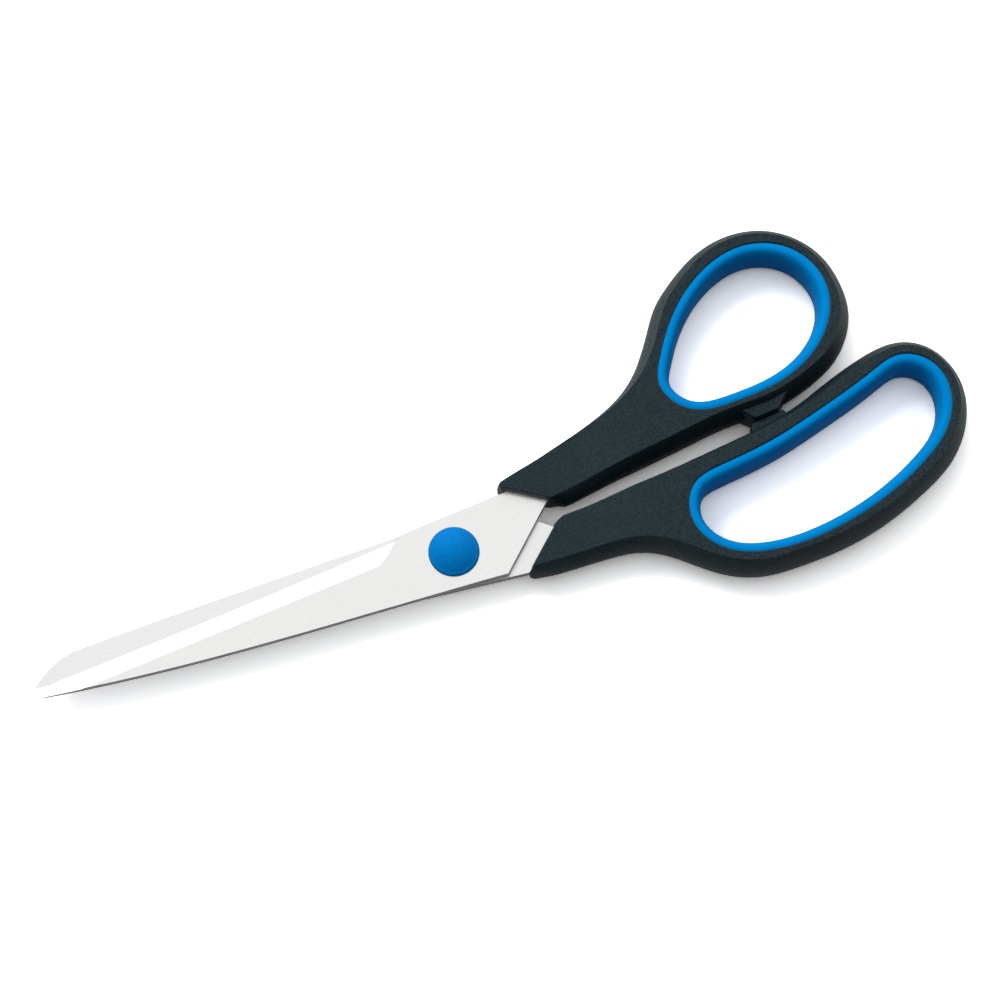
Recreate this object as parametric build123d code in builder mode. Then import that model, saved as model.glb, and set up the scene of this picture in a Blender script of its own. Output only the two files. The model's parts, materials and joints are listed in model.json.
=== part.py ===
from build123d import *
import math
import os

# Office scissors, 210 mm long, in millimetres. They lie closed on a table, on the undersides of their loops.
# The origin is on the table, under the middle of the bounding box. +X runs from the tips to the handles,
# +Y to the thumb loop and +Z up, along the pivot and out of the front blade.
# Plan dimensions are measured from the pivot axis, and heights from the plane between the blades.
# Each blade is drawn on its own face plane: seen from there, the cutting edge is on the +Y side.
# The front half is the blade above that plane with the thumb handle, and the rear half is the other one.

# Place of the pivot
loop_thickness = 11.0
pivot = (-11.84, -11.67, loop_thickness / 2)
middle = Plane(origin=pivot)
side_view = Plane(origin=pivot, x_dir=(1, 0, 0), z_dir=(0, -1, 0))

# Blades
blade_thickness = 1.8
blade_gap = 0.04                    # running gap between the two inner faces
front_face = middle.offset(blade_gap / 2)
rear_face = Plane(origin=middle.offset(-blade_gap / 2).origin, x_dir=(1, 0, 0), z_dir=(0, 0, -1))
front_tip = (-93.5, -0.6)           # where the cutting edge meets the nose
rear_tip = (-93.4, 0.0)
edge_heel = (-10.5, 6.6)            # end of the ground edge, near the pivot
heel_step = (-9.5, 7.2)             # start of the edge that isn't ground
edge_sagitta = 0.43                 # the cutting edge bows out by this much
bevel_width = 4.0
bevel_run_out = (5.8, 2.5)          # length and mid-way depth of the bevel's round end
edge_land = 0.25                    # steel left under the two ends of the bevel
tang_hole_diameter = 4.0            # holes that lock the tangs in the moulded handles

# Pivot
shank_diameter = 4.4
running_clearance = 0.05            # radial, between the shank and the front blade
key_flats = 3.6                     # across the flats that stop the screw turning in the rear blade
thread_diameter = 3.4
screw_end_inset = 0.2               # the screw's end lies this far inside the nut
head_diameter = 6.4
head_height = 1.0
spring_washer_diameter = 8.6
spring_washer_thickness = 0.3
friction_washer_diameter = 10.0
friction_washer_thickness = 0.38
recess_diameter = 10.1              # seat of the friction washer in the rear blade
recess_depth = 0.4
washer_bore = 4.6
nut_diameter = 9.0
nut_height = 1.6
nut_chamfer = 0.4
slot_width = 1.2                    # driver slots in the screw and the nut
slot_depth = 0.6
cap_diameter = 11.0
cap_height = 2.4                    # above the front blade
cap_side = 1.05                     # height of the cap's straight side
cap_clearance = 0.05                # between the cap and the front blade
cap_pocket_diameter = 8.8           # room for the spring washer

# Handles
neck_thickness = 8.0
neck_end = 28.0                     # the neck starts to thicken here
loop_start = 48.0                   # and has the loops' thickness from here
handle_end = 120.0
handle_width = 60.0
draft_inset = 2.0                   # the side walls lean in by this much
draft_depth = 5.0                   # over this height, above and below the parting band
lug_height = 8.0
lug_gap = 0.15                      # left between the stop lugs when the scissors are closed
lug_angle = 5.8                     # the lugs meet on this line through the pivot

# Liners
liner_height = 9.8
liner_rim = 1.5                     # how far the liner stands in from the hole at its top and bottom
liner_bulge = 2.7                   # and at its middle
rib_depth = 1.0                     # rib that locks the liner in the handle
rib_height = 3.0
outline_steps = 48                  # points along a hole's outline when it is moved in or out

# Both holes run counter-clockwise, so that their left side is the inside
thumb_hole = [
    (53.8, 20.7), (57.8, 13.8), (68.5, 12), (79.9, 13.5), (90.3, 19.2), (96.2, 30.5),
    (92.2, 41.1), (82.5, 45.5), (70.2, 42.1), (60.3, 33.2), (56.1, 26.9),
]
finger_hole = [
    (50.4, -10), (54.8, -18.2), (64.1, -21.9), (77.9, -21.8), (93.8, -17.6), (102.7, -13.3),
    (109, -8.6), (113.3, 0.5), (111.3, 7.6), (105.5, 10.8), (98.6, 9.1), (84.1, 4.3),
    (72.7, 1.2), (60.1, -0.7), (53.7, -2.6),
]

front_top = blade_gap / 2 + blade_thickness
head_bottom = front_top + blade_gap / 2 + spring_washer_thickness
head_top = head_bottom + head_height
cap_bottom = front_top + cap_clearance
friction_washer_top = 0.0
bevel_rise = blade_thickness - edge_land
bevel_slope = math.hypot(bevel_width, bevel_rise)
bevel_angle = math.degrees(math.atan2(bevel_rise, bevel_width))

os.makedirs("parts", exist_ok=True)


def blade_outline(face, edge_tip, nose_middle, spine, shoulder_end, tang):
    """Flat blank of a blade. The spine runs from the nose to the first corner of the shoulder."""
    with BuildSketch(face) as outline:
        with BuildLine():
            SagittaArc(edge_heel, edge_tip, edge_sagitta)
            ThreePointArc(edge_tip, nose_middle, spine[0])
            Spline(spine)
            Polyline(spine[-1], shoulder_end, *tang, heel_step, edge_heel)
        make_face()
    return outline.sketch


def bevel_cut(face, edge_tip):
    """What the grinding wheel takes off, on the plane of the bevel: X along the edge from the tip."""
    start = face.from_local_coords(Vector(*edge_tip, edge_land))
    end = face.from_local_coords(Vector(*edge_heel, edge_land))
    edge_length = (end - start).length
    run_out_start = (edge_length - bevel_run_out[0], -bevel_slope)
    run_out_middle = (edge_length - bevel_run_out[0] / 2, -bevel_run_out[1])
    beyond = 4.0
    edge_axis = Axis(start, end - start)
    bevel_plane = Plane(start, x_dir=end - start, z_dir=face.z_dir.rotate(edge_axis, -bevel_angle))
    with BuildSketch(bevel_plane) as cut:
        with BuildLine():
            ThreePointArc(run_out_start, run_out_middle, (edge_length, 0))
            Polyline(
                (edge_length, 0), (edge_length, beyond), (-beyond, beyond),
                (-beyond, -bevel_slope - beyond), (run_out_start[0], -bevel_slope - beyond), run_out_start,
            )
        make_face()
    return cut.sketch


def tang_holes(face, centres):
    """Round holes through a tang, which the handle's plastic fills."""
    with BuildSketch(face) as holes:
        with Locations(*centres):
            Circle(tang_hole_diameter / 2)
    return holes.sketch


def key_section(face):
    """Round section with two flats, shared by the screw and the rear blade's hole."""
    with BuildSketch(face) as section:
        Circle(shank_diameter / 2)
        Rectangle(shank_diameter, key_flats, mode=Mode.INTERSECT)
    return section.sketch


def hole_outline(points, inset=0.0, height=0.0):
    """Outline of a loop's hole at a height, moved in from the handle's edge by the inset."""
    edge = Edge.make_spline([Vector(*point) for point in points], periodic=True)
    moved = []
    for step in range(outline_steps):
        place = step / outline_steps
        moved.append(edge @ place + (edge % place).rotate(Axis.Z, 90) * inset)
    with BuildSketch(middle.offset(height)) as outline:
        with BuildLine():
            Spline(moved, periodic=True)
        make_face()
    return outline.sketch


def thickness_profile():
    """Side view of a handle: a thin neck that swells to the loops' thickness."""
    neck = neck_thickness / 2
    loop = loop_thickness / 2
    with BuildSketch(side_view) as profile:
        with BuildLine():
            Line((0, 0), (0, neck))
            Line((0, neck), (neck_end, neck))
            Spline((neck_end, neck), (loop_start, loop), tangents=((1, 0), (1, 0)))
            Polyline((loop_start, loop), (handle_end, loop), (handle_end, 0), (0, 0))
        make_face()
        mirror(about=Plane.XZ)
    return profile.sketch


def lug_outline(side, near, far, root):
    """Stop lug in plan: `side` is +1 above the line where the lugs meet and -1 below it."""
    slope = math.tan(math.radians(lug_angle))
    meeting = [(x, x * slope + side * lug_gap / 2) for x in (near, far)]
    with BuildSketch(middle) as outline:
        with BuildLine():
            Polyline(meeting[0], meeting[1], *root, close=True)
        make_face()
    return outline.sketch


def moulded_handle(outline, hole_points, lug, blade, liner):
    """Handle body in the active part, with the room for its blade's tang and its liner taken out."""
    extrude(outline, amount=loop_thickness / 2, both=True)
    for end in (-1, 0):
        flat = faces().sort_by(Axis.Z)[end]
        chamfer(flat.edges(), length=draft_inset, length2=draft_depth, reference=flat)
    extrude(thickness_profile(), amount=handle_width, both=True, mode=Mode.INTERSECT)
    extrude(lug, amount=lug_height / 2, both=True)
    extrude(hole_outline(hole_points), amount=loop_thickness, both=True, mode=Mode.SUBTRACT)
    add(blade, mode=Mode.SUBTRACT)
    add(liner, mode=Mode.SUBTRACT)


def soft_liner(hole_points):
    """Liner body in the active part: a ring that bulges into the hole, with a rib around its outside."""
    extrude(hole_outline(hole_points), amount=liner_height / 2, both=True)
    extrude(hole_outline(hole_points, -rib_depth), amount=rib_height / 2, both=True)
    sections = [
        hole_outline(hole_points, liner_rim, -liner_height / 2),
        hole_outline(hole_points, liner_bulge),
        hole_outline(hole_points, liner_rim, liner_height / 2),
    ]
    loft(sections, ruled=True, mode=Mode.SUBTRACT)


def washer(diameter, bottom, thickness):
    """Flat washer in the active part."""
    with BuildSketch(middle.offset(bottom)) as ring:
        Circle(diameter / 2)
        Circle(washer_bore / 2, mode=Mode.SUBTRACT)
    extrude(ring.sketch, amount=thickness)


def driver_slot(face, length):
    """Straight slot for a screwdriver, cut into the face."""
    with BuildSketch(face) as slot:
        Rectangle(length, slot_width)
    extrude(slot.sketch, amount=-slot_depth, mode=Mode.SUBTRACT)


# Front blade: the pointed one, which turns on the screw's shank
front_spine = [(-91.2, -2.9), (-60, -5.8), (-28, -7.15), (9.6, -8.3)]
front_tang = [(25, 6), (36, 7), (45, 9.5), (48.5, 14), (45, 18), (34, 14), (24, 11.6), (14, 9.2)]
with BuildPart() as front_blade:
    extrude(
        blade_outline(front_face, front_tip, (-93.2, -1.9), front_spine, (22.1, 4), front_tang),
        amount=blade_thickness,
    )
    extrude(bevel_cut(front_face, front_tip), amount=blade_thickness * 2, mode=Mode.SUBTRACT)
    extrude(tang_holes(front_face, [(32, 10.4), (42, 13)]), amount=blade_thickness, mode=Mode.SUBTRACT)
    with Locations(front_face):
        Hole(shank_diameter / 2 + running_clearance)
front_blade.part.label = "front_blade"
export_step(front_blade.part, "parts/front_blade.step")

# Rear blade: blunter at the nose, keyed to the screw, with the friction washer's seat
rear_spine = [(-84, -5.1), (-60, -6.1), (-28, -7), (11, -8.2)]
rear_tang = [(38, 1.2), (44, 1.6), (46.3, 5.5), (44, 11), (38, 9.4), (20, 8.9), (14, 9.1)]
with BuildPart() as rear_blade:
    extrude(
        blade_outline(rear_face, rear_tip, (-90, -2.6), rear_spine, (24.2, 2.4), rear_tang),
        amount=blade_thickness,
    )
    extrude(bevel_cut(rear_face, rear_tip), amount=blade_thickness * 2, mode=Mode.SUBTRACT)
    extrude(tang_holes(rear_face, [(30, 5.3), (40, 5.6)]), amount=blade_thickness, mode=Mode.SUBTRACT)
    extrude(key_section(rear_face), amount=blade_thickness, mode=Mode.SUBTRACT)
    with BuildSketch(rear_face):
        Circle(recess_diameter / 2)
    extrude(amount=recess_depth, mode=Mode.SUBTRACT)
rear_blade.part.label = "rear_blade"
export_step(rear_blade.part, "parts/rear_blade.step")

# Liners
with BuildPart() as thumb_liner:
    soft_liner(thumb_hole)
thumb_liner.part.label = "thumb_liner"
export_step(thumb_liner.part, "parts/thumb_liner.step")

with BuildPart() as finger_liner:
    soft_liner(finger_hole)
finger_liner.part.label = "finger_liner"
export_step(finger_liner.part, "parts/finger_liner.step")

# Thumb handle
with BuildSketch(middle) as thumb_outline:
    with BuildLine():
        Spline(
            (13.6, 10.9), (23.1, 14.2), (42.1, 20.6), (53.3, 30.5), (58.8, 38.7), (66.4, 45.3),
            (80.1, 50.2), (92.6, 46.3), (100.1, 27.1), (84, 9.7), (74, 8.3), (58, 6.9), (34, 4),
            (22.8, 3.4),
        )
        Line((22.8, 3.4), (13.6, 10.9))
    make_face()

with BuildPart() as thumb_handle:
    thumb_lug = lug_outline(1, 70.5, 77, [(79.5, 10.4), (68, 9.6)])
    moulded_handle(thumb_outline.sketch, thumb_hole, thumb_lug, front_blade.part, thumb_liner.part)
thumb_handle.part.label = "thumb_handle"
export_step(thumb_handle.part, "parts/thumb_handle.step")

# Finger handle
with BuildSketch(middle) as finger_outline:
    with BuildLine():
        Spline(
            (14, -10.9), (25.7, -11.3), (40.5, -13.6), (52.8, -22.4), (56.9, -25.1), (61.6, -26.4),
            (71.5, -26.8), (86.3, -25.1), (108.9, -14.8), (117, -2.6), (115.8, 6.9), (113.6, 11),
            (105.4, 14.9), (95.9, 12.7), (78, 7.6), (58, 5.2), (42, 3.1), (25.5, 0.7),
        )
        Polyline((25.5, 0.7), (22.6, -1.2), (14, -10.9))
    make_face()

with BuildPart() as finger_handle:
    finger_lug = lug_outline(-1, 70, 77.5, [(78.5, 6.2), (69, 5.2)])
    moulded_handle(finger_outline.sketch, finger_hole, finger_lug, rear_blade.part, finger_liner.part)
finger_handle.part.label = "finger_handle"
export_step(finger_handle.part, "parts/finger_handle.step")

# Pivot screw, from its head down
with BuildPart() as pivot_screw:
    with BuildSketch(middle.offset(head_bottom)):
        Circle(head_diameter / 2)
    extrude(amount=head_height)
    with BuildSketch(middle.offset(head_bottom)):
        Circle(shank_diameter / 2)
    extrude(amount=-head_bottom - blade_gap / 2)
    extrude(key_section(rear_face), amount=blade_thickness)
    with BuildSketch(middle.offset(-front_top)):
        Circle(thread_diameter / 2)
    extrude(amount=screw_end_inset - nut_height)
    driver_slot(middle.offset(head_top), head_diameter)
pivot_screw.part.label = "pivot_screw"
export_step(pivot_screw.part, "parts/pivot_screw.step")

# Slotted nut behind the rear blade
with BuildPart() as pivot_nut:
    with BuildSketch(middle.offset(-front_top)):
        Circle(nut_diameter / 2)
    extrude(amount=-nut_height)
    chamfer(pivot_nut.faces().sort_by(Axis.Z)[0].edges(), length=nut_chamfer)
    with BuildSketch(middle.offset(-front_top)):
        Circle(thread_diameter / 2)
    extrude(amount=-nut_height, mode=Mode.SUBTRACT)
    driver_slot(middle.offset(-front_top - nut_height + slot_depth), nut_diameter)
pivot_nut.part.label = "pivot_nut"
export_step(pivot_nut.part, "parts/pivot_nut.step")

# Washers
with BuildPart() as spring_washer:
    washer(spring_washer_diameter, head_bottom - spring_washer_thickness, spring_washer_thickness)
spring_washer.part.label = "spring_washer"
export_step(spring_washer.part, "parts/spring_washer.step")

with BuildPart() as friction_washer:
    washer(
        friction_washer_diameter,
        friction_washer_top - friction_washer_thickness,
        friction_washer_thickness,
    )
friction_washer.part.label = "friction_washer"
export_step(friction_washer.part, "parts/friction_washer.step")

# Domed cap, snapped over the screw's head
with BuildPart() as pivot_cap:
    with BuildSketch(side_view):
        with BuildLine():
            Polyline(
                (0, front_top + cap_height), (0, cap_bottom), (cap_diameter / 2, cap_bottom),
                (cap_diameter / 2, cap_bottom + cap_side),
            )
            TangentArc(
                (0, front_top + cap_height), (cap_diameter / 2, cap_bottom + cap_side), tangent=(1, 0),
            )
        make_face()
    revolve(axis=Axis(pivot, (0, 0, 1)))
    with BuildSketch(middle.offset(head_bottom)):
        Circle(head_diameter / 2)
    extrude(amount=head_height, mode=Mode.SUBTRACT)
    with BuildSketch(middle.offset(cap_bottom)):
        Circle(cap_pocket_diameter / 2)
    extrude(amount=head_bottom - cap_bottom, mode=Mode.SUBTRACT)
pivot_cap.part.label = "pivot_cap"
export_step(pivot_cap.part, "parts/pivot_cap.step")
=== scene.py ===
import json
import math

import bmesh
import bpy
import numpy as np
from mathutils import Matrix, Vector
from mathutils.geometry import delaunay_2d_cdt


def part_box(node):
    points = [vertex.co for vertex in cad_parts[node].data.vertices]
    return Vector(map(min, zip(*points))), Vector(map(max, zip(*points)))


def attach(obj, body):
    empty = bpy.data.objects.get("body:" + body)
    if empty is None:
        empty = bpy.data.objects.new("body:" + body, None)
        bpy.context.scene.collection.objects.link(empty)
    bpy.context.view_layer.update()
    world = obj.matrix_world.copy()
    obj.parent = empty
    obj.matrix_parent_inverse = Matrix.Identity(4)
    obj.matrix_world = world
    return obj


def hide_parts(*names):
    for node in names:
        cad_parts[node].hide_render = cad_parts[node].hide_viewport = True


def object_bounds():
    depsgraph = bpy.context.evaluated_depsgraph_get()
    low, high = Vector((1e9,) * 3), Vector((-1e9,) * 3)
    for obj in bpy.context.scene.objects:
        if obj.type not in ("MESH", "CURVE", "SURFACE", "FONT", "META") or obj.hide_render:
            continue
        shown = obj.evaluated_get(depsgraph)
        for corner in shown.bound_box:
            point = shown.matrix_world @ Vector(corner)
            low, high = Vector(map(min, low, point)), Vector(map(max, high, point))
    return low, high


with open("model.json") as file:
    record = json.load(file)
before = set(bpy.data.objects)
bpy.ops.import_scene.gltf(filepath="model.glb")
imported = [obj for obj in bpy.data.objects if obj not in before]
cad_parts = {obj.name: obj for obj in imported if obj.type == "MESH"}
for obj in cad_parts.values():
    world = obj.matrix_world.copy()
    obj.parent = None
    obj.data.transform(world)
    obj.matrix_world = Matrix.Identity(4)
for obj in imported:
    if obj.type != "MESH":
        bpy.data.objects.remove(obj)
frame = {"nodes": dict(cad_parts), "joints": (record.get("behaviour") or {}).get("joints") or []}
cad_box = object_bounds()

# Lengths are millimetres from the pivot unless a name ends in _m. +X runs to the handles, +Y to the
# thumb loop and +Z up, out of the front blade. Every piece's object stands at the pivot.
MM = 0.001
pivot_m = Vector(frame["joints"][0]["pos_m"])

# Handles: a thin neck that swells to the loops
NECK_HALF = 4.0
LOOP_HALF = 5.5
NECK_END = 28.0
LOOP_START = 48.0
FRONT_BULGE = 0.6               # how far the front ends' walls stand out from the top face's edge
EDGE_ROUND = 0.15               # radius of the top face's edge
EDGE_RINGS = 3
WALL_RINGS = 7                  # from that edge to the parting line
CORNER_ROUND = 0.4              # of a handle's corners in plan
EDGE_SUPPORT = 0.15             # a row of points this far inside a face's edge keeps the face flat there
HOLE_ROUND = 0.35
HOLE_RINGS = 4                  # in a hole's rounded rim
PARTING_GROOVE = 0.05
WEAR_AND_SHEEN_WIDTH = 0.45               # how far wear and a painted sheen reach from an edge
CURVE_STEP = 0.2                # between the points that curves are worked out on
OUTLINE_STEP = 0.7              # between those that outlines keep
FILL_STEP = 2.2                 # between points inside a flat face

THUMB_TOP = [
    (14.1, 11), (17.9, 12), (22.4, 13.1), (29.7, 15.2), (48.7, 22.6), (56.9, 31.7), (61.6, 38.4),
    (64.7, 41.1), (75.4, 47.1), (87.5, 46.6), (96.2, 38.3), (97.9, 30.3), (97.6, 26.2), (91, 16.8),
    (86.1, 14.3), (80.9, 12.5), (75.9, 11.4), (66.5, 10.9), (56.9, 9.7), (47.2, 8.2), (37.6, 6.8),
    (28, 5.1), (23.4, 4.4),
]
THUMB_FRONT = [(15.6, 9.2), (13.5, 10.2)]       # corners between the thumb handle's lower and upper edges
THUMB_HOLE = [
    (53.8, 20.7), (57.8, 13.8), (68.5, 12), (79.9, 13.5), (90.3, 19.2), (96.2, 30.5), (92.2, 41.1),
    (82.5, 45.5), (70.2, 42.1), (60.3, 33.2), (56.1, 26.9),
]
FINGER_TOP = [
    (24.9, -0.5), (30.7, -0.3), (40, 0.6), (49.3, 1.3), (58.8, 2.4), (73.3, 4.3), (83.3, 6.5),
    (90.4, 9.1), (98.2, 11.6), (106.4, 12.6), (110.3, 11.1), (114.8, 4.2), (115.1, 0), (112.3, -7.6),
    (106.6, -13.3), (99.7, -17), (89, -21.1), (79.1, -23.1), (69.8, -23.7), (61, -23.1), (55.1, -20.7),
    (49.7, -16.7), (44.4, -12.6), (38.6, -10), (32.1, -9.2), (25.4, -9.1), (15, -8.9),
]
FINGER_FRONT = [(22.3, -1.9)]                   # the same for the finger handle
FINGER_HOLE = [
    (50.4, -10), (54.8, -18.2), (64.1, -21.9), (77.9, -21.8), (93.8, -17.6), (102.7, -13.3),
    (109, -8.6), (113.3, 0.5), (111.3, 7.6), (105.5, 10.8), (98.6, 9.1), (84.1, 4.3), (72.7, 1.2),
    (60.1, -0.7), (53.7, -2.6),
]
# X, and how far the walls stand out there along the +Y side and along the -Y side
THUMB_BULGE = [
    (14, 0.5, 0.2), (23, 0.5, 0.2), (26, 0.5, 2.3), (30, 0.5, 2.3), (40, 1.2, 2.3), (55, 2.4, 2.3),
]
FINGER_BULGE = [
    (15, 1, 1.8), (20, 1, 2.3), (50, 1.5, 2.3), (68, 1.6, 2.3), (86, 2.3, 2.3), (108, 2.3, 2.3),
    (114, 2.05, 2.05),
]
# Shares of a wall's normal between which one side's bulge fades into the next one's
SIDE_FADE = (-0.2, 0.4)
FRONT_FADE_X = (0.45, 0.6)
FRONT_FADE_Y = (-0.7, 0.3)

# Stop lugs between the handles
THUMB_LUG_HALF = 4.0
FINGER_LUG_HALF = 2.6
LUG_ROUND = 0.45
LUG_GAP = 0.15
LUG_SLOPE = math.tan(math.radians(5.8))

# Liners: a soft ring whose section is a superellipse
LINER_HALF = 5.25
LINER_BULGE = 2.7
LINER_POWER = 0.45
LINER_SEAT = 0.2                # how far the ring goes into the hole's wall
LINER_SEAT_INSET = 0.3          # and how far below its own rims it does so
LINER_RINGS = 16
LINER_CROWDING = 0.6            # below 1, so that the rings are closer together near the rims

# Steel: the CAD shapes with their square edges broken
BROAD_FACE = 5.0                # square millimetres: smaller faces are rounds and broken edges
STEEL_SHARP = 18                # degrees between faces that are shaded apart
MERGE_ANGLE = 0.3               # degrees between faces that are joined into one
MERGE_DISTANCE = 1e-4
LEVEL = 0.99                    # a face's normal has at least this much Z where the face is flat
SLOPED = 0.8                    # and this much where it is a bevel

# Cap
CAP_SHOULDER = 0.2              # height above the foot that the dome's curve is worked out from
CAP_CORNER = 0.6                # round between the side and the dome
CAP_CORNER_DROP = 0.25          # below the shoulder. The round so ends 0.05 under the foot: a known fold
CAP_FOOT = 0.12                 # broken edge at the bottom
CAP_POCKET_GAP = 0.1            # round the spring washer
CAP_DOME_RINGS = 12
CAP_CORNER_RINGS = 5
CAP_STEPS = 96

# Studio, in units of the radiance that renders white
TENT_TURN = math.radians(-20)   # of the tent's brightest part, to the right of away
TENT_HEIGHT = math.radians(60)
TENT_BRIGHT = 1.24
TENT_DIM = 0.06
FLOOR_GLOW = 0.02
FLOOR_BOUNCE = 0.12             # albedo of the floor for the light it throws on the object
FLOOR_SHINE = 0.9               # and as it is mirrored in the object


# ---------------------------------------------------------------- curves in plan


def cubic(points, step=CURVE_STEP):
    """Points every `step` along the smooth curve through the given points."""
    knots = np.array(points, float)
    chord = np.hypot(*np.diff(knots, axis=0).T)
    slope = np.diff(knots, axis=0) / chord[:, None]
    count = len(knots)
    system = np.zeros((count, count))
    right = np.zeros((count, 2))
    system[0, :2] = 2, 1
    right[0] = 3 * slope[0]
    system[-1, -2:] = 1, 2
    right[-1] = 3 * slope[-1]
    for i in range(1, count - 1):
        system[i, i - 1:i + 2] = chord[i], 2 * (chord[i - 1] + chord[i]), chord[i - 1]
        right[i] = 3 * (chord[i] * slope[i - 1] + chord[i - 1] * slope[i])
    tangent = np.linalg.solve(system, right)
    pieces = []
    for i in range(count - 1):
        s = np.linspace(0, 1, max(2, int(chord[i] / step)), endpoint=False)[:, None]
        pieces.append(
            (1 + 2 * s) * (1 - s) ** 2 * knots[i] + s * (1 - s) ** 2 * chord[i] * tangent[i]
            + s * s * (3 - 2 * s) * knots[i + 1] - s * s * (1 - s) * chord[i] * tangent[i + 1]
        )
    return np.vstack(pieces + [knots[-1:]])


def even(curve, step):
    """Closed curve with its points at even steps."""
    loop = np.vstack([curve, curve[:1]])
    along = np.concatenate([[0], np.cumsum(np.hypot(*np.diff(loop, axis=0).T))])
    places = np.linspace(0, along[-1], max(8, int(along[-1] / step)), endpoint=False)
    return np.column_stack([np.interp(places, along, loop[:, 0]), np.interp(places, along, loop[:, 1])])


def closed_cubic(points, step=CURVE_STEP):
    """Smooth closed curve through the given points."""
    lap = len(points)
    overlap = 4
    wrapped = [points[i % lap] for i in range(-overlap, lap + overlap + 1)]
    curve = cubic(wrapped, step)
    start = np.argmin(np.hypot(*(curve[:len(curve) // 2] - points[0]).T))
    tail = curve[start + lap:]
    end = start + lap + np.argmin(np.hypot(*(tail - points[0]).T))
    return even(curve[start:end], step)


def soften(curve, radius, step=CURVE_STEP):
    """Closed, evenly stepped curve with its corners rounded."""
    reach = int(3 * radius / step) + 1
    offsets = range(-reach, reach + 1)
    weights = [math.exp(-0.5 * (k * step / radius) ** 2) for k in offsets]
    total = sum(w * np.roll(curve, k, axis=0) for k, w in zip(offsets, weights))
    return total / sum(weights)


def adapt(curve, step, turn=math.radians(7)):
    """Closed curve thinned to about `step`, with more points where it turns."""
    ahead = np.roll(curve, -1, axis=0) - curve
    after = np.roll(ahead, -1, axis=0)
    cross = ahead[:, 0] * after[:, 1] - ahead[:, 1] * after[:, 0]
    angle = np.abs(np.arctan2(cross, (ahead * after).sum(axis=1)))
    weight = np.concatenate([[0], np.cumsum(np.hypot(*ahead.T) / step + angle / turn)])
    places = np.linspace(0, weight[-1], int(weight[-1]), endpoint=False)
    loop = np.vstack([curve, curve[:1]])
    return np.column_stack([np.interp(places, weight, loop[:, 0]), np.interp(places, weight, loop[:, 1])])


def signed_area(curve):
    x, y = curve.T
    return 0.5 * np.sum(x * np.roll(y, -1) - y * np.roll(x, -1))


def counter_clockwise(curve):
    return curve if signed_area(curve) > 0 else curve[::-1]


def outward(curve):
    """Unit normals that point out of a counter-clockwise closed curve."""
    along = np.roll(curve, -1, axis=0) - np.roll(curve, 1, axis=0)
    along /= np.hypot(*along.T)[:, None]
    return np.column_stack([along[:, 1], -along[:, 0]])


def inside(points, curve):
    """Which points lie inside a closed curve."""
    x, y = points.T
    result = np.zeros(len(points), bool)
    for (x0, y0), (x1, y1) in zip(curve, np.roll(curve, -1, axis=0)):
        crosses = (y0 > y) != (y1 > y)
        if y0 != y1:
            result ^= crosses & (x < (x1 - x0) * (y - y0) / (y1 - y0) + x0)
    return result


def blend_up(x, start, end):
    """0 before start, 1 after end, and smooth between them."""
    t = np.clip((x - start) / (end - start), 0, 1)
    return t * t * (3 - 2 * t)


# ---------------------------------------------------------------- meshes


def new_object(name, bm, sharp=35):
    """Object at the pivot with a smooth-shaded mesh from bm, which is in millimetres."""
    bmesh.ops.recalc_face_normals(bm, faces=bm.faces)
    if bm.calc_volume(signed=True) < 0:
        bmesh.ops.reverse_faces(bm, faces=bm.faces)
    bmesh.ops.scale(bm, vec=(MM, MM, MM), verts=bm.verts)
    mesh = bpy.data.meshes.new(name)
    bm.to_mesh(mesh)
    bm.free()
    mesh.shade_smooth()
    mesh.set_sharp_from_angle(angle=math.radians(sharp))
    obj = bpy.data.objects.new(name, mesh)
    obj.location = pivot_m
    bpy.context.scene.collection.objects.link(obj)
    return obj


def stand_for(obj, node, body):
    """obj is shown instead of the CAD node and moves with its body."""
    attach(obj, body)
    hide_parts(node)


def node_box(node):
    """Low and high corner of a CAD node, from the pivot."""
    return [(corner - pivot_m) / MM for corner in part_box(node)]


def add_ring(bm, xy, z):
    heights = np.broadcast_to(z, len(xy))
    return [bm.verts.new((float(x), float(y), float(h))) for (x, y), h in zip(xy, heights)]


def bridge(bm, ring_a, ring_b):
    """Strip of quads between two closed rings of the same length."""
    count = len(ring_a)
    for i in range(count):
        j = (i + 1) % count
        bm.faces.new((ring_a[i], ring_a[j], ring_b[j], ring_b[i]))


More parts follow.
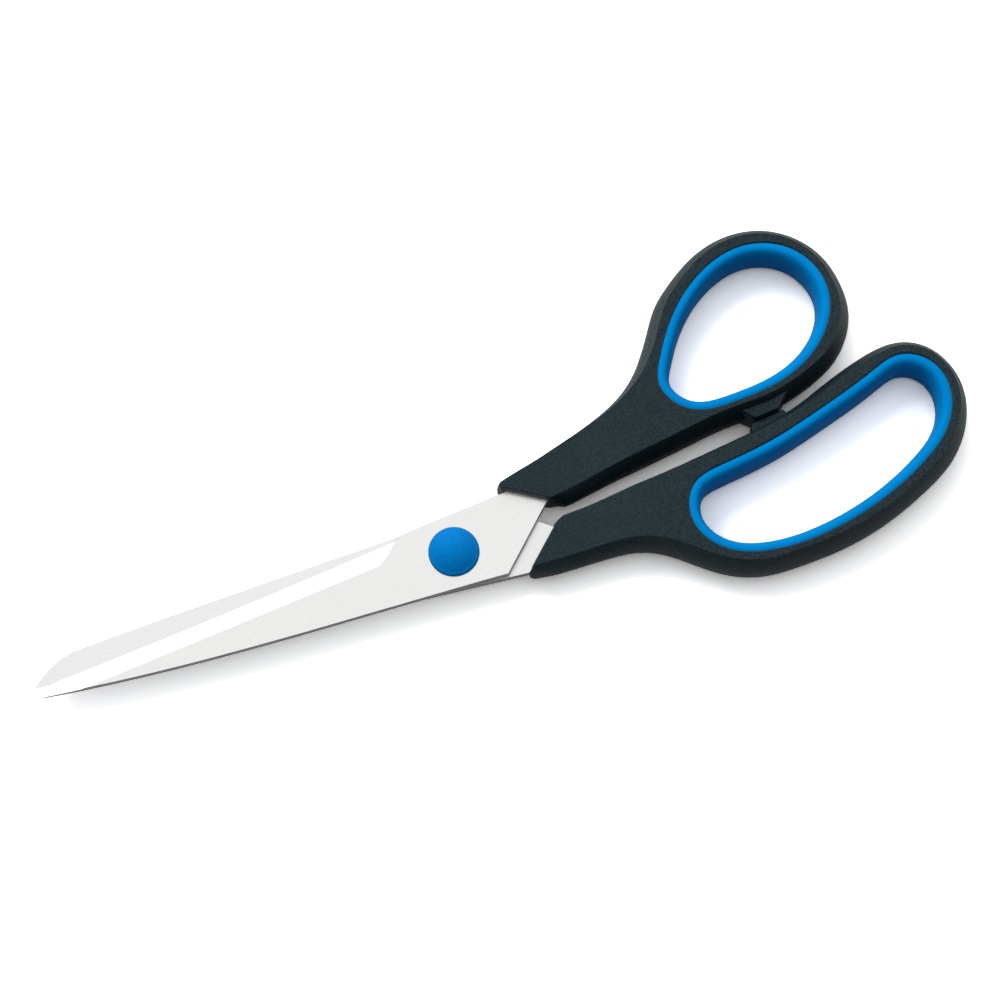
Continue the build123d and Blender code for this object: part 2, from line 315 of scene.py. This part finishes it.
def fill_face(bm, outer, inner, height, sign):
    """Face between two rings of verts, with its own points inside so that it can follow height."""
    outer_xy = np.array([v.co[:2] for v in outer])
    inner_xy = np.array([v.co[:2] for v in inner])
    low, high = outer_xy.min(0), outer_xy.max(0)
    rows = []
    for k, y in enumerate(np.arange(low[1], high[1], FILL_STEP * 0.87)):
        xs = np.arange(low[0] + (k % 2) * FILL_STEP / 2, high[0], FILL_STEP)
        rows.append(np.column_stack([xs, np.full(len(xs), y)]))
    grid = np.vstack(rows)
    rings = np.vstack([outer_xy, inner_xy])
    outer_row = outer_xy - outward(outer_xy) * EDGE_SUPPORT
    inner_row = inner_xy + outward(inner_xy) * EDGE_SUPPORT
    rims = np.vstack([outer_row, inner_row])
    grid = np.vstack([rims, grid])
    clear = np.where(np.arange(len(grid)) < len(rims), EDGE_SUPPORT * 0.9, FILL_STEP * 0.6)
    nearest = np.array([np.hypot(*(rings - p).T).min() for p in grid])
    grid = grid[inside(grid, outer_xy) & ~inside(grid, inner_xy) & (nearest > clear)]
    count, ring = len(outer_xy), len(rings)
    edges = [(i, (i + 1) % count) for i in range(count)]
    edges += [(count + i, count + (i + 1) % len(inner_xy)) for i in range(len(inner_xy))]
    coords = [Vector(p) for p in np.vstack([rings, grid])]
    flat, _, triangles, origins, _, _ = delaunay_2d_cdt(coords, edges, [], 0, 1e-7)
    middle = np.array([np.mean([flat[i][:2] for i in t], axis=0) for t in triangles])
    wanted = inside(middle, outer_xy) & ~inside(middle, inner_xy)
    known = outer + inner
    made = {}
    for triangle in (t for t, ok in zip(triangles, wanted) if ok):
        corners = []
        for i in triangle:
            source = origins[i][0]
            if source < ring:
                corners.append(known[source])
                continue
            if i not in made:
                x, y = flat[i]
                made[i] = bm.verts.new((x, y, sign * float(height(x))))
            corners.append(made[i])
        bm.faces.new(corners)


def half_height(x):
    return NECK_HALF + (LOOP_HALF - NECK_HALF) * blend_up(np.asarray(x, float), NECK_END, LOOP_START)


def prism(name, outline, bottom, top, edge_round):
    """Block with a plan outline and rounded edges."""
    bm = bmesh.new()
    low = [bm.verts.new((x, y, bottom)) for x, y in outline]
    high = [bm.verts.new((x, y, top)) for x, y in outline]
    bm.faces.new(low[::-1])
    bm.faces.new(high)
    bridge(bm, low, high)
    bmesh.ops.bevel(bm, geom=list(bm.edges), offset=edge_round, segments=3, profile=0.5, affect="EDGES")
    return new_object(name, bm)


def unite(obj, tool):
    """obj becomes its union with tool, which is removed."""
    cut = obj.modifiers.new("union", "BOOLEAN")
    cut.operation = "UNION"
    cut.solver = "EXACT"
    cut.object = tool
    result = bpy.data.meshes.new_from_object(obj.evaluated_get(bpy.context.evaluated_depsgraph_get()))
    obj.modifiers.clear()
    obj.data = result
    bpy.data.objects.remove(tool)


def lug(side, near, far, root, half):
    """Stop lug between the handles: `side` is +1 for the thumb handle's and -1 for the finger handle's."""
    meeting = [(x, x * LUG_SLOPE + side * LUG_GAP / 2) for x in (near, far)]
    outline = meeting + root
    if side < 0:
        outline = outline[::-1]
    return prism("lug", outline, -half, half, LUG_ROUND)


def wall_bulge(place, normal, table):
    """How far the side walls stand out from the top face's edge, from a table of X, +Y side and -Y side."""
    x, upper, lower = np.array(table, float).T
    upper = np.interp(place[:, 0], x, upper)
    lower = np.interp(place[:, 0], x, lower)
    side = upper + (lower - upper) * blend_up(-normal[:, 1], *SIDE_FADE)
    front = blend_up(-normal[:, 0], *FRONT_FADE_X) * blend_up(normal[:, 1], *FRONT_FADE_Y)
    front = front * (place[:, 0] < NECK_END)
    return side + (FRONT_BULGE - side) * front


def wall_profile(bulge, height):
    """Distance out from the top face's edge and height, from the rounded edge down to the parting line."""
    slope = np.arctan2(height, 2 * (bulge - EDGE_ROUND))
    profile = []
    for k in range(EDGE_RINGS + 1):
        turn = slope * k / EDGE_RINGS
        profile.append((EDGE_ROUND * np.sin(turn), height - EDGE_ROUND * (1 - np.cos(turn))))
    start_out, start_z = profile[-1]
    for k in range(1, WALL_RINGS + 1):
        level = 1 - k / WALL_RINGS
        profile.append((start_out + (bulge - start_out) * (1 - level ** 2), start_z * level))
    profile[-1] = (bulge - PARTING_GROOVE, height * 0)
    return profile


def handle_edge(top_points, front_points):
    """Outline of a handle's top face: a smooth curve, closed by straight lines along its front end."""
    edge = cubic(top_points)
    front = np.array([edge[-1]] + front_points + [edge[0]], float)
    for a, b in zip(front, front[1:]):
        steps = max(2, int(np.hypot(*(b - a)) / CURVE_STEP))
        edge = np.vstack([edge, a + (b - a) * np.linspace(0, 1, steps, endpoint=False)[1:, None]])
    return adapt(soften(even(counter_clockwise(edge), CURVE_STEP), CORNER_ROUND), OUTLINE_STEP)


def handle(name, node, body, top_points, front_points, hole_points, bulge_table, stop_lug):
    """Moulded handle: flat faces, bulging side walls and a parting line."""
    edge = handle_edge(top_points, front_points)
    normal = outward(edge)
    bulge = wall_bulge(edge, normal, bulge_table)
    height = half_height(edge[:, 0])

    bm = bmesh.new()
    # Each vertex keeps how near it lies to the top face's edge. The material lightens the plastic there,
    # partly as wear and partly as a painted sheen.
    wear_and_sheen = bm.verts.layers.float.new("edge_wear_and_sheen")
    upper_half = wall_profile(bulge, height)
    lower_half = [(out, -z) for out, z in upper_half[-2::-1]]
    rings = []
    for out, z in upper_half + lower_half:
        ring = add_ring(bm, edge + normal * out[:, None], z)
        for v, distance in zip(ring, out):
            v[wear_and_sheen] = math.exp(-(distance / WEAR_AND_SHEEN_WIDTH) ** 2)
        rings.append(ring)
    for a, b in zip(rings, rings[1:]):
        bridge(bm, a, b)

    hole = adapt(even(counter_clockwise(closed_cubic(hole_points)), CURVE_STEP), OUTLINE_STEP)
    hole_out = outward(hole)
    hole_height = half_height(hole[:, 0])
    hole_rings = []
    for sign in (1, -1):
        arc = [math.pi / 2 * k / HOLE_RINGS for k in range(HOLE_RINGS + 1)]
        for angle in (arc if sign > 0 else arc[::-1]):
            back = HOLE_ROUND * (1 - math.sin(angle))
            drop = HOLE_ROUND * (1 - math.cos(angle))
            hole_rings.append(add_ring(bm, hole + hole_out * back, sign * (hole_height - drop)))
    for a, b in zip(hole_rings, hole_rings[1:]):
        bridge(bm, b, a)

    fill_face(bm, rings[0], hole_rings[0], half_height, 1)
    fill_face(bm, rings[-1], hole_rings[-1], half_height, -1)

    obj = new_object(name, bm)
    unite(obj, stop_lug)
    obj.data.set_sharp_from_angle(angle=math.radians(40))
    stand_for(obj, node, body)
    return obj


def liner(name, node, body, hole_points):
    """Soft ring inside a loop: it fills the hole's wall and bulges inwards."""
    hole = adapt(even(counter_clockwise(closed_cubic(hole_points)), CURVE_STEP), OUTLINE_STEP)
    inward = -outward(hole)
    bm = bmesh.new()
    rings = []
    for k in range(LINER_RINGS + 1):
        turn = -1 + 2 * k / LINER_RINGS
        angle = math.pi / 2 * math.copysign(abs(turn) ** LINER_CROWDING, turn)
        reach = LINER_BULGE * max(math.cos(angle), 0) ** LINER_POWER
        rings.append(add_ring(bm, hole + inward * reach, -LINER_HALF * math.sin(angle)))
    seat = hole - inward * LINER_SEAT
    rings.append(add_ring(bm, seat, -LINER_HALF + LINER_SEAT_INSET))
    rings.append(add_ring(bm, seat, LINER_HALF - LINER_SEAT_INSET))
    for a, b in zip(rings, rings[1:] + rings[:1]):
        bridge(bm, a, b)
    obj = new_object(name, bm, sharp=60)
    stand_for(obj, node, body)
    return obj


def steel_copy(name, node, body, edge_round, face_material=None):
    """Piece with a CAD node's exact shape, clean flat faces and its square edges broken."""
    bm = bmesh.new()
    bm.from_mesh(frame["nodes"][node].data)
    bmesh.ops.translate(bm, vec=-pivot_m, verts=bm.verts)
    bmesh.ops.scale(bm, vec=(1 / MM, 1 / MM, 1 / MM), verts=bm.verts)
    bmesh.ops.remove_doubles(bm, verts=bm.verts, dist=MERGE_DISTANCE)
    bmesh.ops.dissolve_limit(bm, angle_limit=math.radians(MERGE_ANGLE), verts=bm.verts, edges=bm.edges)
    square = []
    for e in bm.edges:
        if len(e.link_faces) != 2:
            continue
        flat, side = sorted(e.link_faces, key=lambda f: -abs(f.normal.z))
        tall = max(v.co.z for v in side.verts) - min(v.co.z for v in side.verts)
        if abs(flat.normal.z) > LEVEL and abs(side.normal.z) < 0.1 and tall > 3 * edge_round:
            square.append(e)
    bmesh.ops.bevel(bm, geom=square, offset=edge_round, segments=2, profile=0.5, affect="EDGES")
    if face_material:
        bm.normal_update()
        for f in bm.faces:
            f.material_index = face_material(f)
    obj = new_object(name, bm, sharp=STEEL_SHARP)
    for face in obj.data.polygons:
        if face.area > BROAD_FACE * MM ** 2:
            face.use_smooth = False
    stand_for(obj, node, body)
    return obj


def cap(name, node, body):
    """Domed cap over the screw's head, hollow underneath."""
    low, high = node_box(node)
    head = node_box("pivot_screw")[1]
    washer = node_box("spring_washer")[1]
    radius, bottom, top = high.x, low.z, high.z
    pocket = washer.x + CAP_POCKET_GAP
    rise = top - bottom - CAP_SHOULDER
    sphere = (radius ** 2 + rise ** 2) / (2 * rise)
    dome = radius - CAP_CORNER
    profile = []
    for k in range(CAP_DOME_RINGS + 1):
        r = dome * k / CAP_DOME_RINGS
        profile.append((r, top - sphere + math.sqrt(sphere ** 2 - r ** 2)))
    rim_z = profile[-1][1]
    drop = rim_z - bottom - CAP_SHOULDER + CAP_CORNER_DROP
    for k in range(1, CAP_CORNER_RINGS + 1):
        angle = math.pi / 2 * k / CAP_CORNER_RINGS
        profile.append((dome + CAP_CORNER * math.sin(angle), rim_z - drop * (1 - math.cos(angle))))
    profile += [(radius, bottom + CAP_FOOT), (radius - CAP_FOOT, bottom)]
    profile += [(pocket, bottom), (pocket, washer.z), (head.x, washer.z), (head.x, head.z), (0, head.z)]

    turns = [2 * math.pi * i / CAP_STEPS for i in range(CAP_STEPS)]
    circle = np.column_stack([np.cos(turns), np.sin(turns)])
    bm = bmesh.new()
    rings = [add_ring(bm, circle * r, z) for r, z in profile[1:-1]]
    for a, b in zip(rings, rings[1:]):
        bridge(bm, a, b)
    for (_, z), ring in ((profile[0], rings[0]), (profile[-1], rings[-1])):
        tip = bm.verts.new((0, 0, z))
        for i in range(CAP_STEPS):
            bm.faces.new((tip, ring[i], ring[(i + 1) % CAP_STEPS]))
    obj = new_object(name, bm, sharp=40)
    stand_for(obj, node, body)
    return obj


# ---------------------------------------------------------------- materials


class Nodes:
    """Short way to build a material's node tree around one Principled shader."""

    def __init__(self, name):
        self.material = bpy.data.materials.new(name)
        self.material.use_nodes = True
        self.tree = self.material.node_tree
        self.shader = self.tree.nodes["Principled BSDF"]
        self.place = self.add("ShaderNodeTexCoord").outputs["Object"]

    def add(self, kind, **settings):
        node = self.tree.nodes.new(kind)
        for key, value in settings.items():
            setattr(node, key, value)
        return node

    def set(self, **inputs):
        for key, value in inputs.items():
            self.link(value, self.shader.inputs[key.replace("_", " ")])

    def link(self, value, socket):
        if isinstance(value, bpy.types.NodeSocket):
            self.tree.links.new(value, socket)
        else:
            socket.default_value = value

    def scaled(self, x, y, z, turn=0.0):
        """Place stretched along X, Y and Z, after a turn about Z."""
        turned = self.add("ShaderNodeVectorRotate", rotation_type="Z_AXIS")
        self.link(self.place, turned.inputs["Vector"])
        turned.inputs["Angle"].default_value = -turn
        node = self.add("ShaderNodeMapping")
        self.link(turned.outputs["Vector"], node.inputs["Vector"])
        node.inputs["Scale"].default_value = (x, y, z)
        return node.outputs["Vector"]

    def noise(self, vector, scale, detail=2.0, roughness=0.5):
        node = self.add("ShaderNodeTexNoise")
        self.link(vector, node.inputs["Vector"])
        node.inputs["Scale"].default_value = scale
        node.inputs["Detail"].default_value = detail
        node.inputs["Roughness"].default_value = roughness
        return node.outputs["Fac"]

    def remap(self, value, low, high, to_low=0.0, to_high=1.0):
        node = self.add("ShaderNodeMapRange")
        self.link(value, node.inputs["Value"])
        for key, number in (("From Min", low), ("From Max", high), ("To Min", to_low), ("To Max", to_high)):
            node.inputs[key].default_value = number
        return node.outputs["Result"]

    def mix(self, factor, a, b):
        node = self.add("ShaderNodeMix", data_type="RGBA")
        self.link(factor, node.inputs["Factor"])
        self.link(a, node.inputs["A"])
        self.link(b, node.inputs["B"])
        return node.outputs["Result"]

    def math(self, operation, a, b=0.0):
        node = self.add("ShaderNodeMath", operation=operation)
        self.link(a, node.inputs[0])
        self.link(b, node.inputs[1])
        return node.outputs[0]

    def bump(self, height, depth_m, strength=1.0):
        node = self.add("ShaderNodeBump")
        self.link(height, node.inputs["Height"])
        node.inputs["Distance"].default_value = depth_m
        node.inputs["Strength"].default_value = strength
        return node.outputs["Normal"]


def brushed_steel(name, lines, light, dark, roughness, depth_m):
    """Ground steel: `lines` stretches the noise, so that the marks run along the smallest number."""
    n = Nodes(name)
    streaks = n.noise(n.scaled(*lines), 1.0, 4.0, 0.6)
    clouds = n.noise(n.place, 60.0, 2.0)
    shade = n.math("ADD", n.math("MULTIPLY", streaks, 0.8), n.math("MULTIPLY", clouds, 0.2))
    n.set(
        Base_Color=n.mix(n.remap(shade, 0.35, 0.65), dark, light),
        Metallic=1.0,
        Roughness=n.remap(streaks, 0.3, 0.7, roughness - 0.05, roughness + 0.06),
        Normal=n.bump(streaks, depth_m),
    )
    return n.material


def black_plastic():
    n = Nodes("black_plastic")
    cells = n.add("ShaderNodeTexVoronoi", feature="SMOOTH_F1")
    n.link(n.place, cells.inputs["Vector"])
    cells.inputs["Scale"].default_value = 2900.0
    grain = n.math("ADD", cells.outputs["Distance"], n.math("MULTIPLY", n.noise(n.place, 5000.0, 3.0), 0.8))
    broad = n.noise(n.place, 45.0, 3.0)
    # Near the top face's edges the colour is lifted to a lighter blue-grey. This is partly rubbed wear and
    # partly a painted sheen standing in for the highlights along the edges.
    worn_and_sheen = n.add("ShaderNodeAttribute", attribute_name="edge_wear_and_sheen").outputs["Fac"]
    shade = n.math("ADD", n.math("MULTIPLY", broad, 0.5), n.math("MULTIPLY", grain, 0.4))
    tint = n.mix(n.remap(shade, 0.25, 0.75), (0.001, 0.0034, 0.0052, 1), (0.0021, 0.0071, 0.0102, 1))
    n.set(
        Base_Color=n.mix(n.math("MULTIPLY", worn_and_sheen, 0.35), tint, (0.006, 0.012, 0.016, 1)),
        Roughness=n.math("SUBTRACT", n.remap(grain, 0.2, 1.0, 0.42, 0.56), n.math("MULTIPLY", worn_and_sheen, 0.08)),
        Specular_IOR_Level=n.remap(grain, 0.3, 0.95, 0.04, 0.21),
        Specular_Tint=(0.75, 0.97, 1, 1),
        Normal=n.bump(grain, 0.00011, 1.0),
    )
    return n.material


def blue_rubber():
    n = Nodes("blue_rubber")
    grain = n.noise(n.place, 4200.0, 2.0)
    broad = n.noise(n.place, 70.0, 2.0)
    n.set(
        Base_Color=n.mix(n.remap(broad, 0.35, 0.65), (0.0004, 0.15, 0.4, 1), (0.0007, 0.165, 0.43, 1)),
        Roughness=n.remap(grain, 0.3, 0.7, 0.46, 0.56),
        Specular_IOR_Level=0.02,
        Specular_Tint=(0.1, 0.6, 1, 1),
        Normal=n.bump(grain, 0.000012, 0.5),
    )
    return n.material


def blue_plastic():
    n = Nodes("blue_plastic")
    peel = n.noise(n.place, 1500.0, 2.0)
    fine = n.noise(n.place, 6000.0, 2.0)
    height = n.math("ADD", peel, n.math("MULTIPLY", fine, 0.35))
    n.set(
        Base_Color=n.mix(n.remap(peel, 0.35, 0.65), (0.0003, 0.12, 0.355, 1), (0.0006, 0.136, 0.4, 1)),
        Roughness=n.remap(fine, 0.3, 0.7, 0.38, 0.5),
        Specular_IOR_Level=0.08,
        Specular_Tint=(0.15, 0.6, 1, 1),
        Normal=n.bump(height, 0.00003, 0.7),
    )
    return n.material


def turned_steel():
    """Steel with rings round the pivot's axis."""
    n = Nodes("turned_steel")
    wave = n.add("ShaderNodeTexWave", wave_type="RINGS", rings_direction="Z")
    n.link(n.place, wave.inputs["Vector"])
    wave.inputs["Scale"].default_value = 2600.0
    wave.inputs["Distortion"].default_value = 0.6
    marks = n.noise(n.place, 3000.0, 2.0)
    shade = n.math("ADD", n.math("MULTIPLY", wave.outputs["Fac"], 0.6), n.math("MULTIPLY", marks, 0.4))
    n.set(
        Base_Color=n.mix(shade, (0.48, 0.49, 0.5, 1), (0.66, 0.67, 0.68, 1)),
        Metallic=1.0,
        Roughness=n.remap(marks, 0.3, 0.7, 0.25, 0.36),
        Normal=n.bump(wave.outputs["Fac"], 0.000004),
    )
    return n.material


def nylon():
    n = Nodes("nylon")
    grain = n.noise(n.place, 2500.0, 2.0)
    n.set(
        Base_Color=n.mix(grain, (0.76, 0.74, 0.68, 1), (0.84, 0.82, 0.77, 1)),
        Roughness=n.remap(grain, 0.3, 0.7, 0.45, 0.55),
        Normal=n.bump(grain, 0.00001, 0.5),
    )
    return n.material


def floor_paper():
    """White paper. The object gets less light from it than its brightness to the camera would give."""
    n = Nodes("floor_paper")
    fibre = n.noise(n.place, 900.0, 3.0)
    ray = n.add("ShaderNodeLightPath").outputs
    seen = ray["Is Camera Ray"]
    paper = n.mix(fibre, (1.44, 1.45, 1.46, 1), (1.47, 1.48, 1.49, 1))
    bounce = n.mix(ray["Is Glossy Ray"], [FLOOR_BOUNCE] * 3 + [1], [FLOOR_SHINE] * 3 + [1])
    n.set(
        Base_Color=n.mix(seen, bounce, paper),
        Roughness=0.95,
        Specular_IOR_Level=0.0,
        Emission_Color=(1, 1, 1, 1),
        Emission_Strength=n.math("MULTIPLY", seen, FLOOR_GLOW),
    )
    return n.material


def paint(obj, *materials):
    for material in materials:
        obj.data.materials.append(material)


# ---------------------------------------------------------------- the pieces

thumb_lug = lug(1, 71.2, 76.8, [(80.6, 11.5), (67.4, 10.9)], THUMB_LUG_HALF)
thumb_handle = handle(
    "thumb_handle_moulding", "thumb_handle", "thumb_half", THUMB_TOP, THUMB_FRONT, THUMB_HOLE,
    THUMB_BULGE, thumb_lug,
)
finger_lug = lug(-1, 70.2, 78, [(79.2, 4.6), (69.3, 3.4)], FINGER_LUG_HALF)
finger_handle = handle(
    "finger_handle_moulding", "finger_handle", "finger_half", FINGER_TOP, FINGER_FRONT, FINGER_HOLE,
    FINGER_BULGE, finger_lug,
)
thumb_liner = liner("thumb_liner_ring", "thumb_liner", "thumb_half", THUMB_HOLE)
finger_liner = liner("finger_liner_ring", "finger_liner", "finger_half", FINGER_HOLE)

FLAT, BEVEL, SIDE, INNER = range(4)


def blade_face(outer_sign):
    """Chooses a blade face's material by where it points. The side faces get steel darkened with painted
    shade.
    """
    def choose(face):
        z = face.normal.z * outer_sign
        if z > LEVEL:
            return FLAT
        if z > SLOPED and face.calc_area() > BROAD_FACE:
            return BEVEL
        if z < -LEVEL:
            return INNER
        return SIDE
    return choose


front_blade = steel_copy("front_blade_steel", "front_blade", "thumb_half", 0.1, blade_face(1))
rear_blade = steel_copy("rear_blade_steel", "rear_blade", "finger_half", 0.1, blade_face(-1))
pivot_cap = cap("pivot_cap_dome", "pivot_cap", "finger_half")
pivot_screw = steel_copy("pivot_screw_turned", "pivot_screw", "finger_half", 0.08)
pivot_nut = steel_copy("pivot_nut_turned", "pivot_nut", "finger_half", 0.08)
spring_washer = steel_copy("spring_washer_ring", "spring_washer", "finger_half", 0.04)
friction_washer = steel_copy("friction_washer_ring", "friction_washer", "finger_half", 0.05)

GRIND_TURN = math.radians(15)
flat_steel = brushed_steel(
    "blade_flat", (260, 4200, 900, GRIND_TURN), (0.69, 0.688, 0.683, 1), (0.66, 0.658, 0.653, 1),
    0.3, 0.0000025,
)
bevel_steel = brushed_steel(
    "blade_bevel", (9000, 400, 900), (0.66, 0.66, 0.66, 1), (0.62, 0.625, 0.63, 1), 0.28, 0.0000015,
)
# Side faces and small broken edges: sheared steel darkened with painted shade. It stands in for the shadow
# between the blades and the dark surroundings these faces mirror.
side_steel_painted_shade = brushed_steel(
    "blade_side_painted_shade", (2600, 2600, 300), (0.2, 0.2, 0.2, 1), (0.13, 0.13, 0.13, 1), 0.42, 0.000004,
)
inner_steel = brushed_steel(
    "blade_inner", (300, 4200, 900, -GRIND_TURN), (0.69, 0.69, 0.69, 1), (0.655, 0.655, 0.655, 1),
    0.3, 0.000003,
)
for blade in (front_blade, rear_blade):
    paint(blade, flat_steel, bevel_steel, side_steel_painted_shade, inner_steel)
black = black_plastic()
paint(thumb_handle, black)
paint(finger_handle, black)
rubber = blue_rubber()
paint(thumb_liner, rubber)
paint(finger_liner, rubber)
paint(pivot_cap, blue_plastic())
turned = turned_steel()
for piece in (pivot_screw, pivot_nut, spring_washer):
    paint(piece, turned)
paint(friction_washer, nylon())

# ---------------------------------------------------------------- stage, light and camera

floor_z = cad_box[0].z
bm = bmesh.new()
bmesh.ops.create_grid(bm, x_segments=1, y_segments=1, size=2.0)
bmesh.ops.translate(bm, vec=(0, 0, floor_z), verts=bm.verts)
floor_mesh = bpy.data.meshes.new("floor")
bm.to_mesh(floor_mesh)
bm.free()
floor = bpy.data.objects.new("floor", floor_mesh)
bpy.context.scene.collection.objects.link(floor)
paint(floor, floor_paper())

# The camera looks down steeply from the finger side
view_turn = math.radians(18.44)
view_height = math.radians(73.0)
view_distance_m = 0.6
target = pivot_m + Vector((0.0132, 0.0084, 0.0))
back = Vector((
    -math.sin(view_turn) * math.cos(view_height),
    -math.cos(view_turn) * math.cos(view_height),
    math.sin(view_height),
))
camera_data = bpy.data.cameras.new("camera")
camera_data.lens = 100
camera_data.sensor_width = 36
camera_data.clip_start = 0.01
camera = bpy.data.objects.new("camera", camera_data)
camera.location = target + back * view_distance_m
camera.rotation_euler = (-back).to_track_quat("-Z", "Y").to_euler()
bpy.context.scene.collection.objects.link(camera)
bpy.context.scene.camera = camera

away = Vector((math.sin(view_turn), math.cos(view_turn), 0))
across = Vector((math.cos(view_turn), -math.sin(view_turn), 0))


def studio_world():
    """White tent that is brightest behind the object and dim on the camera's side."""
    world = bpy.data.worlds.new("studio")
    world.use_nodes = True
    tree = world.node_tree
    direction = tree.nodes.new("ShaderNodeTexCoord").outputs["Generated"]
    toward = tree.nodes.new("ShaderNodeVectorMath")
    toward.operation = "DOT_PRODUCT"
    tree.links.new(direction, toward.inputs[0])
    level = away * math.cos(TENT_TURN) + across * math.sin(TENT_TURN)
    brightest = level * math.cos(TENT_HEIGHT) + Vector((0, 0, math.sin(TENT_HEIGHT)))
    toward.inputs[1].default_value = brightest
    ramp = tree.nodes.new("ShaderNodeMapRange")
    tree.links.new(toward.outputs["Value"], ramp.inputs["Value"])
    for key, number in (("From Min", 0.0), ("From Max", 0.8), ("To Min", TENT_DIM), ("To Max", TENT_BRIGHT)):
        ramp.inputs[key].default_value = number
    seen = tree.nodes.new("ShaderNodeLightPath").outputs["Is Camera Ray"]
    strength = tree.nodes.new("ShaderNodeMath")
    strength.operation = "MAXIMUM"
    tree.links.new(ramp.outputs["Result"], strength.inputs[0])
    tree.links.new(seen, strength.inputs[1])
    tree.links.new(strength.outputs[0], tree.nodes["Background"].inputs["Strength"])
    tree.nodes["Background"].inputs["Color"].default_value = (1, 1, 1, 1)
    bpy.context.scene.world = world


def light_at(name, turn, height, distance, size_m, radiance):
    """Softbox by its direction from the target, in degrees: turn to the right of away, and height."""
    turn, height = math.radians(turn), math.radians(height)
    level = across * math.sin(turn) + away * math.cos(turn)
    direction = level * math.cos(height) + Vector((0, 0, math.sin(height)))
    data = bpy.data.lights.new(name, "AREA")
    data.shape = "RECTANGLE"
    data.size, data.size_y = size_m
    data.energy = radiance * math.pi * size_m[0] * size_m[1]
    light = bpy.data.objects.new(name, data)
    light.location = target + direction * distance
    light.rotation_euler = (-direction).to_track_quat("-Z", "Y").to_euler()
    bpy.context.scene.collection.objects.link(light)
    return light


light_at("key_back", -13, 32, 1.2, (1.4, 0.6), 2.0)
rim_lit = bpy.data.collections.new("rim_lit")
rim_lit.objects.link(thumb_handle)
rim_lit.objects.link(finger_handle)
for name, turn, radiance in (("rim_right", 62, 16.0), ("rim_left", -72, 28.0)):
    rim = light_at(name, turn, 22, 1.0, (0.6, 0.4), radiance)
    rim.data.color = (0.85, 0.95, 1)
    rim.visible_diffuse = False
    rim.light_linking.receiver_collection = rim_lit
light_at("high_left", -38, 45, 1.2, (0.7, 0.7), 6.5).visible_glossy = False
studio_world()
bpy.context.scene.view_settings.view_transform = "Standard"
